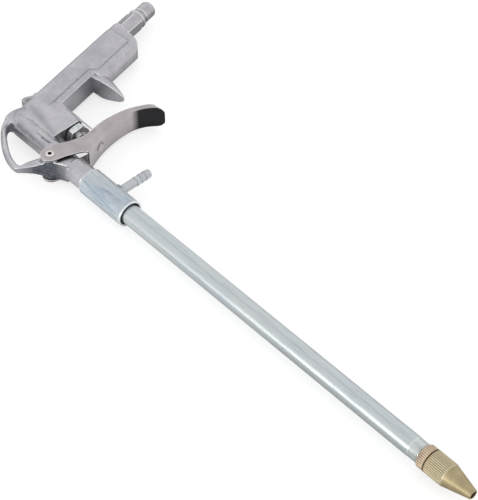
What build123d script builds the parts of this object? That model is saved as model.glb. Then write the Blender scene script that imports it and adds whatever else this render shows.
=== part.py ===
from build123d import *
import math
import os

# Air-powered siphon wash gun. Millimetres.
# The barrel line is the gun's X axis, towards the nozzle. The handle runs towards +Y.
# The gun lies on its right side, so +Z is its left side and the mid-plane is halfway up.
# Everything is drawn about the barrel line and the mid-plane, then set down as one (see REST).

# ---------- driving dimensions ----------
# clearances
RUNNING = 0.05            # radial, a part that turns or slides on another
SIDE_GAP = 0.15           # cheek to boss, either side of the lever
SEAT_GAP = 0.02           # soft seals and pushed-in parts

# lance and sleeve
TUBE_R = 7.5
TUBE_WALL = 1.2
TUBE_START = 29.0         # rear end of the lance tube, past the barb's port
TUBE_END = 338.5
SLEEVE_LENGTH = 44.0
SLEEVE_R = TUBE_R + 2.8   # room for the bush and the sleeve's wall
SLEEVE_WALL = 1.7
SLEEVE_LIP = 0.5          # rounding of the sleeve's front rim
BUSH_LENGTH = 10.0
BUSH_RECESS = 5.0         # bush's front face behind the sleeve's rim
SLEEVE_SPIGOT = 9.0       # how far the body's spigot reaches into the sleeve

# hose barb on the sleeve
BARB_X = 22.3
BARB_R = 3.3
BARB_BORE_R = 2.0
BARB_REACH = 26.0         # end of the barb beyond the sleeve
BARB_RIDGES = 3
BARB_PITCH = 4.2
BARB_STEP = 0.35
BARB_FILLET = 2.2
BARB_TIP = 2.0            # plain end past the last ridge
BARB_SLOPE = 0.7          # share of the pitch that each ridge slopes over

# barrel passage of the body
BARREL_R = 8.2
BARREL_REAR = -80.0
NECK_R = SLEEVE_R - 1.15
NECK_REAR = -17.5
NECK_CHAMFER = 0.9
OUTLET_BORE_R = 4.5
OUTLET_REAR = -62.0

# handle
LEAN = 12.6               # degrees, the handle's lean back from square to the barrel
DUCT_N = -76.6            # distance of the duct line in front of the gun's origin, across the handle
DUCT_R = 4.5
DUCT_TOP = 14.0           # blind end of the duct, past the valve's line
HANDLE_BACK = 8.3         # duct line to the handle's back
HANDLE_FRONT = 24.4       # duct line to the handle's front
GRIP_FRONT = 16.6         # duct line to the front of the finger notch
HANDLE_END = 139.0        # where the plug seats, along the handle from the barrel line
END_TILT = 19.0           # degrees, the handle's end leans back towards the front
BODY_HALF = 8.7           # half thickness of the casting
PAD_HALF = 9.3            # half thickness over the raised pads
BACK_ROUND = 7.6
FRONT_ROUND = 6.8
SHOULDER_R = 10.0         # corner of the handle's end, on its front
HEEL_R = 1.5              # the same on its back
HANDLE_ROOT = 20.0        # where the grip's section starts, inside the head
PAD_END = HANDLE_END - 10
PAD_TILT = 9.0            # degrees, lean of the pad's end
PAD_INNER = 10.6          # duct line to the pad's front edge beside the finger notch
PAD_OUTER = 16.1          # the same past the notch
PAD_ROOT = 30.0           # where the pad starts, inside the head's pad
PAD_STEP = 84.0           # where its front edge steps forward
PAD_SLOPE = 4.5           # length of that step

# head
HEAD_FRONT = -45.0
VALVE_Y = 22.9            # the valve's line, below the barrel line
HEAD_BOTTOM = VALVE_Y + 7.6   # the face over the finger notch
HEAD_HALF = 7.4           # half thickness between the barrel and the pad
RIB_END = -33.5           # front of the half-round wall about the nut

# finger guard: stations along X with lower face, half thickness and depth
GUARD_STATIONS = (
    (-79.0, 65.0, 8.7, 16.0),
    (-68.3, 66.6, 8.3, 11.0),
    (-59.6, 68.7, 7.1, 7.4),
    (-53.6, 70.2, 5.2, 4.8),
    (-49.6, 71.2, 3.3, 2.8),
    (-47.7, 71.9, 1.6, 1.2),
)

# hook
HOOK_THICKNESS = (
    (-95.0, 6.6), (-84.0, 6.0), (-70.0, 4.6), (-56.0, 3.6), (-44.0, 3.4), (-38.0, 4.8), (-30.0, 7.4),
    (-22.0, 8.2), (-10.0, 8.2),
)
TANG_THICKNESS = ((-99.0, 1.6), (-96.5, 3.0), (-92.0, 4.6), (-88.0, 6.2), (-79.0, 7.0))
NOTCH_END = 85.0

# lever and its pivot
PIVOT = (-31.5, -10.0)
CHEEK_R = 7.0
LEVER_HALF = 10.75
WEB_BEND = (-26.0, 56.0)  # where the web stops leaning back and curls forward
WEB_LOW_X = -14.2         # web's outer face at its lower edge
WEB_TIP = (-12.6, 82.0)
SHEET = 1.5
WEB_START = 11.8          # lower edge of the web
BEND_R = 2.4
LEVER_END_R = 7.5
RIVET_R = 2.4
RIVET_BORE_R = 1.5
RIVET_HEAD_R = 3.2
RIVET_HEAD = 0.7
BOSS_R = 6.4

# valve
VALVE_BORE_R = 5.6
VALVE_REAR = -82.0
PORT_REACH = 6.0          # valve seat to the cross port up to the barrel
CROSS_PORT_R = 2.5
NUT_PORT_R = 1.8
RELIEF = 0.7              # depth of the turned groove round the nut's ports
NUT_AF = 17.0
NUT_LENGTH = 5.5
NUT_TURN = 8.0            # degrees, how the tightened nut came to rest
NUT_BOSS_R = 4.6
NUT_BOSS = 2.2            # guide boss in front of the hexagon
SHROUD_R = 11.8           # half-round wall about the nut, outside
SHROUD_EDGE = 0.8         # chamfer of its front edge
SHROUD_TOP = 4.0          # where it ends on either side, below the nut's axis
POCKET_R = 10.3           # the same wall, inside
NUT_THREAD_R = 5.5
NUT_REAR = -62.0          # seat rim, at the rear end of the nut's sleeve
NUT_BORE_R = 3.6
STEM_R = 2.0
STEM_STEP = 0.5           # how much thinner the stem is where the poppet sits
STEM_GUIDE = 9.0          # length of the close bore at the front of the nut
GASKET = 1.0
GASKET_R = 8.2
POPPET_R = 4.9
POPPET_LENGTH = 3.0
SEAL_LENGTH = 1.6
SPRING_R = 3.6
SPRING_WIRE = 0.8
SPRING_TURNS = 3.5
O_RING = 1.5

# inlet plug
PLUG_HEX_AF = 14.0
PLUG_HEX = 16.4
PLUG_THREAD_R = 6.2
PLUG_THREAD = 10.0
PLUG_BORE_R = 3.0
SPOT_R = 8.8              # spot face under the plug's hexagon
PLUG_COLLAR = 19.8        # hex base to the middle of the collar
PLUG_COLLAR_R = 7.65
PLUG_CONE_R = 7.0         # root of the cone between hexagon and collar
PLUG_WAIST_R = 6.1
PLUG_NOSE_R = 6.6
PLUG_NOSE = 12.0           # length of the nose
PLUG_LENGTH = 35.6        # hex base to the end of the nose

# air jet in the sleeve
JET_R = 2.6
JET_BORE_R = 1.0
JET_TIP = 26.0
JET_THREAD = 12.0
JET_INLET_R = 1.8
JET_HEAD_R = 6.2
JET_HEAD = 3.6
JET_WASHER = 0.8          # thickness of the fibre washer under the jet's head

# adjustable nozzle
RING_START = TUBE_END - 11.7
RING_LENGTH = 5.9
RING_GAP = 0.3            # seam between the lock ring and the nozzle
CAP_KNURL = 15.7
CAP_CONE = 20.1
CAP_R = TUBE_R + 1.15
RING_REAR_R = TUBE_R + 0.4
TIP_R = 3.4
TIP_BORE_R = 2.4
TIP_BORE = 3.0            # length of the spray hole
CAP_CHAMBER = 2.5         # end of the nozzle's running bore behind its cone
TUBE_RING = 0.34          # seal ring's section radius
TUBE_GROOVE_X = TUBE_END - 2.4
CORE_R = 2.0
CORE_DEPTH = 9.0          # length of the core inside the lance
CORE_PORT_R = 1.5
CORE_PORTS = 4.3          # ports' distance from the axis
CORE_REACH = 26.0         # the pin's point beyond the lance's end
CORE_POINT = 4.0          # length of the pin's point


BOSS_HALF = LEVER_HALF - SHEET - SIDE_GAP
SPIGOT_R = SLEEVE_R - SLEEVE_WALL - SEAT_GAP
PORT_X = NUT_REAR + PORT_REACH

# ---------- helpers ----------
SIN, COS = math.sin(math.radians(LEAN)), math.cos(math.radians(LEAN))


def on_handle(s, n):
    """Point at s along the handle and n in front of the duct line."""
    x = n + DUCT_N
    return (x * COS - s * SIN, x * SIN + s * COS)


def slab(face, half):
    """Face on the mid-plane, thickened by half to either side."""
    return extrude(face, amount=half, both=True)


def turned(points, axis_y=0.0, axis_x=0.0):
    """Solid of revolution about a line parallel to X, from (x, radius) corners."""
    profile = make_face(Polyline(*points, close=True))
    return Pos(axis_x, axis_y, 0) * revolve(profile, Axis.X)


def hex_prism(across_flats, length):
    """Hexagon along +X from the origin, one corner on each side."""
    sketch = Plane.YZ * RegularPolygon(across_flats / math.sqrt(3), 6)
    return extrude(sketch, amount=length)


def along_handle():
    """Placement with +X down the handle, at the duct line on the barrel line."""
    x, y = on_handle(0, 0)
    return Location((x, y, 0), (0, 0, 90 + LEAN))


# ---------- body casting ----------
def grip_section(front, back, half):
    """Cross-section of the handle, in the plane square to it."""
    face = Pos((back - front) / 2, 0) * Rectangle(front + back, 2 * half)
    corners = face.vertices().sort_by(Axis.X)
    face = fillet(corners[:2], FRONT_ROUND)
    face = fillet(face.vertices().sort_by(Axis.X)[-2:], BACK_ROUND)
    return Plane.YZ * face


def handle():
    place = along_handle()
    grip = place * Pos(HANDLE_ROOT, 0, 0) * extrude(
        grip_section(HANDLE_FRONT, HANDLE_BACK, BODY_HALF), HANDLE_END)
    tilt = math.tan(math.radians(END_TILT))
    side = make_face(Polyline(
        (0, HANDLE_BACK), (HANDLE_END + HANDLE_BACK * tilt, HANDLE_BACK),
        (HANDLE_END - HANDLE_FRONT * tilt, -HANDLE_FRONT), (0, -HANDLE_FRONT), close=True))
    ends = side.vertices().sort_by(Axis.X)[-2:].sort_by(Axis.Y)
    side = fillet(ends[0], SHOULDER_R)
    side = fillet(side.vertices().sort_by(Axis.X)[-1], HEEL_R)
    return grip & place * slab(side, 2 * PAD_HALF)


def handle_pad():
    """Raised casting over the duct, stepping forward past the finger notch."""
    place = along_handle()
    full = place * Pos(PAD_ROOT, 0, 0) * extrude(
        grip_section(HANDLE_FRONT, HANDLE_BACK, PAD_HALF), PAD_END)
    tilt = math.tan(math.radians(PAD_TILT))
    behind = HANDLE_BACK + 1
    outline = make_face(Polyline(
        (PAD_ROOT, behind), (PAD_ROOT, -PAD_INNER), (PAD_STEP, -PAD_INNER),
        (PAD_STEP + PAD_SLOPE, -PAD_OUTER), (PAD_END - PAD_OUTER * tilt, -PAD_OUTER),
        (PAD_END + behind * tilt, behind), close=True))
    return full & place * slab(outline, 2 * PAD_HALF)


def head():
    back = on_handle(44, -HANDLE_BACK)
    outline = make_face(Polyline(
        (-86.0, 3.0), (-86.0, 12.0), (-90.0, 20.0), back, on_handle(50, 10), (-67.0, HEAD_BOTTOM),
        (HEAD_FRONT, HEAD_BOTTOM), (HEAD_FRONT, 0), (BARREL_REAR, -4.0), close=True))
    block = slab(outline, HEAD_HALF)
    pad = make_face(Polyline(
        (-84.5, 15.5), (-77.0, 4.6), (HEAD_FRONT, 4.6), (HEAD_FRONT, HEAD_BOTTOM), (-68.0, HEAD_BOTTOM),
        on_handle(42, 12.0), on_handle(36, -4.0), close=True))
    pad = fillet(pad.vertices().sort_by_distance((-77.0, 4.6, 0))[0], 3.0)
    shroud = turned([
        (HEAD_FRONT - 2, 0), (HEAD_FRONT - 2, SHROUD_R), (RIB_END - SHROUD_EDGE, SHROUD_R),
        (RIB_END, SHROUD_R - SHROUD_EDGE), (RIB_END, 0)], VALVE_Y)
    lower = Pos((HEAD_FRONT + RIB_END) / 2, VALVE_Y + SHROUD_TOP + SHROUD_R / 2) * Box(
        100, SHROUD_R, 2 * BODY_HALF)
    return block + slab(pad, PAD_HALF) + (shroud & lower)


def plan_wedge(stations):
    """Block whose half thickness follows (x, half) stations along X."""
    outline = make_face(Polyline(*stations, *[(x, -half) for x, half in reversed(stations)], close=True))
    return extrude(Plane.XZ * outline, amount=60, both=True)


def tang():
    """Spur over the web of the hand."""
    root = (-93.6, 34.0)
    upper = Spline(
        root, (-92.9, 28.2), (-94.2, 23.2), (-96.8, 19.6), (-97.2, 16.2), (-93.0, 13.8), (-84.0, 10.5))
    outline = make_face(upper + Polyline((-84.0, 10.5), (-80.0, 34.0), root))
    return slab(outline, 20) & plan_wedge(TANG_THICKNESS)


def hook():
    """Hang loop, thin at its far corner and as thick as the pivot boss at its root."""
    outer = Spline((-84.0, 12.0), (-88.6, 4.0), (-88.4, -4.0), (-83.6, -13.0), (-75.0, -21.0), (-64.0, -27.6),
                   (-52.5, -31.8), (-46.0, -32.6))
    corner = ThreePointArc((-46.0, -32.6), (-43.2, -31.9), (-41.4, -30.0))
    arm = Spline((-41.4, -30.0), (-34.5, -21.4), (-26.0, -13.0), (-16.0, -7.5))
    close_line = Polyline((-16.0, -7.5), (-16.0, 0.0), (-80.0, 0.0), (-84.0, 12.0))
    loop = make_face(outer + corner + arm + close_line)
    hole = make_face(
        Spline((-81.0, -6.5), (-79.6, -11.2), (-72.0, -17.6), (-62.0, -23.6), (-52.0, -27.6), (-46.4, -28.6))
        + ThreePointArc((-46.4, -28.6), (-44.2, -27.9), (-43.4, -25.6))
        + Spline((-43.4, -25.6), (-42.0, -19.0), (-39.6, -12.0), (-38.6, -6.5))
        + Line((-38.6, -6.5), (-81.0, -6.5)))
    return (slab(loop, 20) - slab(hole, 30)) & plan_wedge(HOOK_THICKNESS)


def barrel():
    passage = turned([
        (BARREL_REAR, 0), (BARREL_REAR, BARREL_R - 2), (BARREL_REAR + 3, BARREL_R), (NECK_REAR, BARREL_R),
        (NECK_REAR + 0.8, NECK_R), (-NECK_CHAMFER, NECK_R), (0, NECK_R - NECK_CHAMFER), (0, 0)])
    spigot = turned([(-1, 0), (-1, SPIGOT_R), (SLEEVE_SPIGOT, SPIGOT_R), (SLEEVE_SPIGOT, 0)])
    return passage + spigot


def finger_guard():
    """Horn in front of the grip: flat under the finger, rounded above, tapering to its tip."""
    sections = []
    for x, low, half, depth in GUARD_STATIONS:
        arc = EllipticalCenterArc((0, 0), depth, half, start_angle=-90, arc_size=180)
        section = make_face(arc + Line((0, half), (0, -half)))
        sections.append(Plane(origin=(x, low, 0), x_dir=(0, 1, 0), z_dir=(1, 0, 0)) * section)
    return loft(sections)


def gun_body():
    body = head() + handle() + handle_pad()
    notch_start = (HEAD_BOTTOM - (GRIP_FRONT + DUCT_N) * SIN) / COS
    notch = make_face(Polyline(
        on_handle(notch_start, GRIP_FRONT), on_handle(NOTCH_END, GRIP_FRONT),
        on_handle(NOTCH_END, GRIP_FRONT + 40), (0, HEAD_BOTTOM), close=True))
    body -= slab(notch, 30)
    body += tang() + hook() + barrel() + finger_guard()
    body += Pos(*PIVOT) * Cylinder(BOSS_R, 2 * BOSS_HALF)
    body -= Pos(*PIVOT) * Cylinder(RIVET_R + SEAT_GAP, 4 * BOSS_HALF)
    outlet = SLEEVE_SPIGOT + 1
    body -= turned([
        (OUTLET_REAR, 0), (OUTLET_REAR, OUTLET_BORE_R), (outlet, OUTLET_BORE_R), (outlet, 0)])
    body -= turned([
        (VALVE_REAR, 0), (VALVE_REAR, VALVE_BORE_R), (HEAD_FRONT, VALVE_BORE_R), (HEAD_FRONT, POCKET_R),
        (0, POCKET_R), (0, 0)], VALVE_Y)
    body -= Pos(PORT_X, VALVE_Y / 2, 0) * Rot(90, 0, 0) * Cylinder(CROSS_PORT_R, VALVE_Y)
    duct_top = VALVE_Y + DUCT_TOP
    body -= along_handle() * turned([
        (duct_top, 0), (duct_top, DUCT_R), (HANDLE_END + 1, DUCT_R), (HANDLE_END + 1, 0)])
    thread_end = HANDLE_END - PLUG_THREAD - 1
    thread_r = PLUG_THREAD_R + SEAT_GAP
    body -= along_handle() * turned([
        (thread_end, 0), (thread_end, thread_r), (HANDLE_END, thread_r), (HANDLE_END, SPOT_R),
        (HANDLE_END + SPOT_R, SPOT_R), (HANDLE_END + SPOT_R, 0)])
    return body


# ---------- valve ----------
def hexagon_nut(across_flats, length, turn):
    """Hexagon prism along +X with its corners chamfered at both ends."""
    corner = across_flats / math.sqrt(3)
    rim = across_flats / 2 + 0.1
    rise = (corner - rim) * 0.5
    cone = turned([(0, 0), (0, rim), (rise, corner), (length - rise, corner), (length, rim), (length, 0)])
    return Rot(turn, 0, 0) * hex_prism(across_flats, length) & cone


NUT_BACK = HEAD_FRONT + GASKET
NUT_FRONT = NUT_BACK + NUT_LENGTH + NUT_BOSS
RING_GROOVE_X = NUT_FRONT - STEM_GUIDE / 2
POPPET_FRONT = NUT_REAR - SEAT_GAP - SEAL_LENGTH
POPPET_BACK = POPPET_FRONT - POPPET_LENGTH


def valve_nut():
    nut = Pos(NUT_BACK, VALVE_Y, 0) * hexagon_nut(NUT_AF, NUT_LENGTH, NUT_TURN)
    boss = NUT_FRONT - NUT_BOSS
    nut += turned([
        (boss - 1, 0), (boss - 1, NUT_BOSS_R), (NUT_FRONT - 0.5, NUT_BOSS_R), (NUT_FRONT, NUT_BOSS_R - 0.5),
        (NUT_FRONT, 0)], VALVE_Y)
    relief_r = NUT_THREAD_R - RELIEF
    nut += turned([
        (NUT_REAR, 0), (NUT_REAR, NUT_THREAD_R - 0.8), (NUT_REAR + 0.8, NUT_THREAD_R),
        (PORT_X - 3, NUT_THREAD_R), (PORT_X - 2.4, relief_r), (PORT_X + 2.4, relief_r),
        (PORT_X + 3, NUT_THREAD_R),
        (NUT_BACK + 0.5, NUT_THREAD_R), (NUT_BACK + 0.5, 0)], VALVE_Y)
    guide = NUT_FRONT - STEM_GUIDE
    close_r = STEM_R + RUNNING
    nut -= turned([
        (NUT_REAR - 1, 0), (NUT_REAR - 1, NUT_BORE_R), (guide, NUT_BORE_R), (guide, close_r),
        (NUT_FRONT + 1, close_r), (NUT_FRONT + 1, 0)], VALVE_Y)
    groove = O_RING / 2 + 0.2
    groove_r = STEM_R + O_RING + 0.1
    nut -= turned([
        (RING_GROOVE_X - groove, 0), (RING_GROOVE_X - groove, groove_r), (RING_GROOVE_X + groove, groove_r),
        (RING_GROOVE_X + groove, 0)], VALVE_Y)
    ports = Pos(PORT_X, VALVE_Y, 0) * Rot(90, 0, 0) * Cylinder(NUT_PORT_R, 4 * NUT_THREAD_R)
    return nut - ports


def nut_gasket():
    return turned([
        (HEAD_FRONT, VALVE_BORE_R), (HEAD_FRONT, GASKET_R), (NUT_BACK, GASKET_R),
        (NUT_BACK, VALVE_BORE_R)], VALVE_Y)


def stem_seal():
    return Pos(RING_GROOVE_X, VALVE_Y, 0) * Rot(0, 90, 0) * Torus(STEM_R + O_RING / 2 + 0.04, O_RING / 2)


def web_inner_x(y):
    """Inside of the lever's web at a height below its bend."""
    rise = WEB_BEND[1] - y
    return WEB_BEND[0] + LOW_R - math.sqrt((LOW_R + SHEET) ** 2 - rise ** 2)


def valve_stem():
    """Rod from the poppet to the lever's web, flanged behind the poppet and domed at the tip."""
    tip = web_inner_x(VALVE_Y + 0.5) - SEAT_GAP
    neck_r = STEM_R - STEM_STEP
    neck_end = POPPET_FRONT + SEAL_LENGTH + 0.3
    back = POPPET_BACK - SEAT_GAP
    return turned([
        (back - 1.4, 0), (back - 1.4, STEM_R + 0.5), (back, STEM_R + 0.9), (back, neck_r), (neck_end, neck_r),
        (neck_end + 0.6, STEM_R), (tip - 1.2, STEM_R), (tip - 0.4, STEM_R - 0.6), (tip, 0.5),
        (tip, 0)], VALVE_Y)


def disc_on_stem(start, length, radius):
    """Washer-shaped part on the stem's neck, with a bevelled rear rim."""
    hole = STEM_R - STEM_STEP + SEAT_GAP
    return turned([
        (start, hole), (start, radius - 0.3), (start + 0.3, radius), (start + length, radius),
        (start + length, hole)], VALVE_Y)


def valve_spring():
    """Closed-coil compression spring between the bore's end and the poppet."""
    length = POPPET_BACK - VALVE_REAR - SPRING_WIRE - 2 * SEAT_GAP
    path = Helix(length / SPRING_TURNS, length, SPRING_R)
    wire = sweep(Plane(origin=path @ 0, z_dir=path % 0) * Circle(SPRING_WIRE / 2), path, is_frenet=True)
    return Pos(VALVE_REAR + SPRING_WIRE / 2 + SEAT_GAP, VALVE_Y, 0) * Rot(0, 90, 0) * wire


# ---------- lever ----------
def bend_radius(low, high):
    """Radius of an arc that is upright at low and passes through high."""
    dx, dy = high[0] - low[0], high[1] - low[1]
    return (dx * dx + dy * dy) / (2 * abs(dx))


LOW_R = bend_radius(WEB_BEND, (WEB_LOW_X, WEB_START))
HIGH_R = bend_radius(WEB_BEND, WEB_TIP)


def lever_side():
    """Side view of the whole lever, its web's outer face to the right."""
    px, py = PIVOT
    low = (WEB_LOW_X, WEB_START)
    tip = (-15.2, 83.6)
    ear = (px - CHEEK_R + 0.3, py + CHEEK_R)
    web = TangentArc(WEB_BEND, low, tangent=(0, -1)) + TangentArc(WEB_BEND, WEB_TIP, tangent=(0, 1))
    back = Spline(
        tip, (-21.8, 77.2), (-26.2, 69.7), (-29.2, 62.7), (-31.0, 55.0), (-31.9, 48.0), (-32.2, 41.0),
        (-31.7, 34.0), (-30.3, 26.0), (-30.0, 20.0), (-31.2, 13.0), (-34.6, 4.0), ear)
    rest = Polyline(
        ear, (px, py), (px + CHEEK_R, py - 1.0), (-22.7, -4.0), (-20.8, 1.0), (-18.3, 7.4), (-16.6, 10.2),
        low)
    face = make_face(web + Line(WEB_TIP, tip) + back + rest)
    return face + Pos(px, py) * Circle(CHEEK_R)


def lever():
    side = lever_side()
    far = 1000
    above = Pos(0, WEB_START + far / 2) * Rectangle(far, far)
    below = Pos(0, WEB_START - far / 2) * Rectangle(far, far)
    upper = slab(side & above, LEVER_HALF)
    bend_x, bend_y = WEB_BEND
    under = Pos(bend_x + LOW_R, bend_y) * Circle(LOW_R + SHEET)
    under &= Pos(0, bend_y - far / 2) * Rectangle(far, far)
    over = Pos(bend_x + HIGH_R, bend_y) * Circle(HIGH_R + SHEET)
    over &= Pos(0, bend_y + far / 2) * Rectangle(far, far)
    hollow = slab((side & above) - under - over, LEVER_HALF - SHEET)
    front_edges = [
        e for e in upper.edges()
        if e.geom_type == GeomType.CIRCLE and abs(e.center().Z) > 1 and e.length > 20]
    upper = fillet(front_edges, BEND_R)
    cheek = extrude(Pos(0, 0, LEVER_HALF - SHEET) * (side & below), SHEET)
    shape = upper - hollow + cheek + mirror(cheek, Plane.XY)
    reach = WEB_TIP[1] + 0.3
    plan = Pos(reach - far / 2, 0) * Rectangle(far, 2 * LEVER_HALF)
    plan = fillet(plan.vertices().group_by(Axis.X)[-1], LEVER_END_R)
    shape &= extrude(Plane.YZ * plan, amount=far, both=True)
    return shape - Pos(*PIVOT) * Cylinder(RIVET_R + RUNNING, 4 * LEVER_HALF)


def lever_rivet():
    """Hollow rivet, its flared heads bevelled over the lever's cheeks."""
    cheek = LEVER_HALF + RUNNING
    top = cheek + RIVET_HEAD
    bevel_r = RIVET_HEAD_R - 0.5
    half = [
        (RIVET_R, cheek), (RIVET_HEAD_R, cheek), (RIVET_HEAD_R, cheek + 0.2), (bevel_r, top),
        (RIVET_BORE_R, top)]
    other = [(r, -z) for r, z in reversed(half)]
    profile = make_face(Polyline(*half, *other, close=True))
    return Pos(*PIVOT, 0) * revolve(Plane.XZ * profile, Axis.Z)


# ---------- inlet plug ----------
def inlet_plug():
    """Quick-coupler plug: thread, long hexagon, ball collar, locking groove and smooth nose."""
    base = HANDLE_END
    nose = base + PLUG_LENGTH
    collar = base + PLUG_COLLAR
    hex_end = base + PLUG_HEX
    thread = base - PLUG_THREAD
    body = turned([
        (thread, 0), (thread, PLUG_THREAD_R - 0.8), (thread + 0.8, PLUG_THREAD_R),
        (hex_end - 0.5, PLUG_THREAD_R), (hex_end + 0.6, PLUG_CONE_R),
        (collar - 1.4, PLUG_COLLAR_R - 0.4), (collar - 0.8, PLUG_COLLAR_R),
        (collar + 0.8, PLUG_COLLAR_R), (collar + 1.6, PLUG_COLLAR_R - 0.8), (collar + 2.4, PLUG_WAIST_R),
        (nose - PLUG_NOSE, PLUG_WAIST_R), (nose - PLUG_NOSE + 0.6, PLUG_NOSE_R), (nose - 1.8, PLUG_NOSE_R),
        (nose - 0.5, PLUG_NOSE_R - 0.7), (nose, PLUG_NOSE_R - 2.0), (nose, 0)])
    body += Pos(base, 0, 0) * hexagon_nut(PLUG_HEX_AF, PLUG_HEX, 30)
    body -= turned([
        (thread - 1, 0), (thread - 1, PLUG_BORE_R), (nose + 1, PLUG_BORE_R), (nose + 1, 0)])
    return along_handle() * body


# ---------- sleeve, jet and lance ----------
def mixing_sleeve():
    inner = SLEEVE_R - SLEEVE_WALL
    lip = SLEEVE_LIP
    sleeve = turned([
        (0, inner), (0, SLEEVE_R - lip), (lip, SLEEVE_R), (SLEEVE_LENGTH - lip, SLEEVE_R),
        (SLEEVE_LENGTH, SLEEVE_R - lip), (SLEEVE_LENGTH, inner + lip), (SLEEVE_LENGTH - lip, inner)])
    hole = Pos(BARB_X, SLEEVE_R, 0) * Rot(90, 0, 0) * Cylinder(BARB_R + SEAT_GAP, SLEEVE_R)
    return sleeve - hole


def about_barb(points):
    """Solid of revolution about the barb's axis, from (radius, distance from the barrel line) corners."""
    return Pos(BARB_X, 0, 0) * revolve(make_face(Polyline(*points, close=True)), Axis.Y)


def hose_barb():
    """Stub brazed in the sleeve's side: fillet, ridges that point at the root, chamfered mouth."""
    start = SLEEVE_R - SLEEVE_WALL
    end = SLEEVE_R + BARB_REACH
    core_r = BARB_R - 0.5
    barb = about_barb([
        (core_r, start), (BARB_R, start), (BARB_R, end - 1.0), (BARB_R - 0.6, end), (core_r, end)])
    for k in range(BARB_RIDGES):
        top = end - BARB_TIP - k * BARB_PITCH
        foot = top - BARB_PITCH * BARB_SLOPE
        barb += about_barb([(core_r, top), (BARB_R, top), (BARB_R + BARB_STEP, foot), (core_r, foot)])
    barb += about_barb([(BARB_BORE_R, start), (core_r + 0.1, start), (core_r + 0.1, end), (BARB_BORE_R, end)])
    base = SLEEVE_R - 1
    flare_r = BARB_R + BARB_FILLET
    skirt = about_barb([
        (core_r, base), (flare_r, base), (flare_r, SLEEVE_R - 0.4),
        (BARB_R + 0.6 * BARB_FILLET, SLEEVE_R + 0.1), (BARB_R, SLEEVE_R + BARB_FILLET),
        (core_r, SLEEVE_R + BARB_FILLET)])
    seat_r = SLEEVE_R + SEAT_GAP
    skirt -= turned([(0, 0), (0, seat_r), (SLEEVE_LENGTH, seat_r), (SLEEVE_LENGTH, 0)])
    return barb + skirt


def air_jet():
    """Jet screwed in the barrel's outlet, its tip past the barb's port."""
    thread_r = OUTLET_BORE_R - SEAT_GAP
    back = SLEEVE_SPIGOT - JET_THREAD
    seat = SLEEVE_SPIGOT + JET_WASHER
    head_end = seat + JET_HEAD
    return turned([
        (back, JET_INLET_R), (back, thread_r), (seat, thread_r), (seat, JET_HEAD_R),
        (head_end - 0.6, JET_HEAD_R), (head_end, JET_HEAD_R - 0.6), (head_end, JET_R + 0.4),
        (JET_TIP - 3, JET_R), (JET_TIP, JET_BORE_R + 0.5), (JET_TIP, JET_BORE_R),
        (JET_TIP - 5, JET_BORE_R), (JET_TIP - 7, JET_INLET_R)])


def jet_seal():
    bore = OUTLET_BORE_R + SEAT_GAP
    front = SLEEVE_SPIGOT + JET_WASHER
    return turned([(SLEEVE_SPIGOT, bore), (SLEEVE_SPIGOT, JET_HEAD_R), (front, JET_HEAD_R), (front, bore)])


def tube_bush():
    front = SLEEVE_LENGTH - BUSH_RECESS
    inner = TUBE_R + SEAT_GAP
    outer = SLEEVE_R - SLEEVE_WALL - SEAT_GAP
    rear = front - BUSH_LENGTH
    return turned([(rear, inner), (rear, outer), (front, outer), (front, inner)])


def lance_tube():
    """Tube with a groove near its end for the seal inside the nozzle."""
    inner = TUBE_R - TUBE_WALL
    floor = TUBE_R - 2 * TUBE_RING - 0.02
    rear = TUBE_GROOVE_X - 0.9
    front = TUBE_GROOVE_X + 0.9
    return turned([
        (TUBE_START, inner), (TUBE_START, TUBE_R), (rear, TUBE_R), (rear, floor), (front, floor),
        (front, TUBE_R), (TUBE_END - 0.4, TUBE_R), (TUBE_END, TUBE_R - 0.4), (TUBE_END, inner)])


def tube_seal():
    return Pos(TUBE_GROOVE_X, 0, 0) * Rot(0, 90, 0) * Torus(TUBE_R - TUBE_RING, TUBE_RING)


# ---------- adjustable nozzle ----------
def nozzle_core():
    """Plug in the lance's end with three ports and a pointed pin that meters the nozzle's hole."""
    outer = TUBE_R - TUBE_WALL - SEAT_GAP
    point = TUBE_END + CORE_REACH
    core = turned([
        (TUBE_END - CORE_DEPTH, 0), (TUBE_END - CORE_DEPTH, outer), (TUBE_END, outer),
        (TUBE_END, CORE_R + 0.6), (TUBE_END + 1.2, CORE_R), (point - CORE_POINT, CORE_R), (point, 0.4),
        (point, 0)])
    port = Rot(0, 90, 0) * Cylinder(CORE_PORT_R, CORE_DEPTH + 3)
    for k in range(3):
        angle = math.radians(120 * k + 90)
        place = Pos(TUBE_END - CORE_DEPTH / 2, CORE_PORTS * math.cos(angle), CORE_PORTS * math.sin(angle))
        core -= place * port
    return core


def lock_ring():
    end = RING_START + RING_LENGTH
    inner = TUBE_R + RUNNING
    return turned([
        (RING_START, inner), (RING_START, RING_REAR_R), (RING_START + 1, CAP_R), (end, CAP_R), (end, inner)])


def nozzle_cap():
    """Nozzle: cylinder for the knurl, cone, and a chamber that narrows to the spray hole."""
    start = RING_START + RING_LENGTH + RING_GAP
    shoulder = start + CAP_KNURL
    tip = shoulder + CAP_CONE
    inner = TUBE_R + RUNNING
    slope = (CAP_R - TIP_R) / CAP_CONE
    chamber = shoulder - CAP_CHAMBER
    return turned([
        (start, inner), (start, CAP_R - 0.3), (start + 0.3, CAP_R), (shoulder, CAP_R),
        (tip - 0.5, TIP_R + 0.5 * slope), (tip, TIP_R - 0.3), (tip, TIP_BORE_R), (tip - TIP_BORE, TIP_BORE_R),
        (chamber + 1, inner - 1.0), (chamber, inner)])


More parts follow.
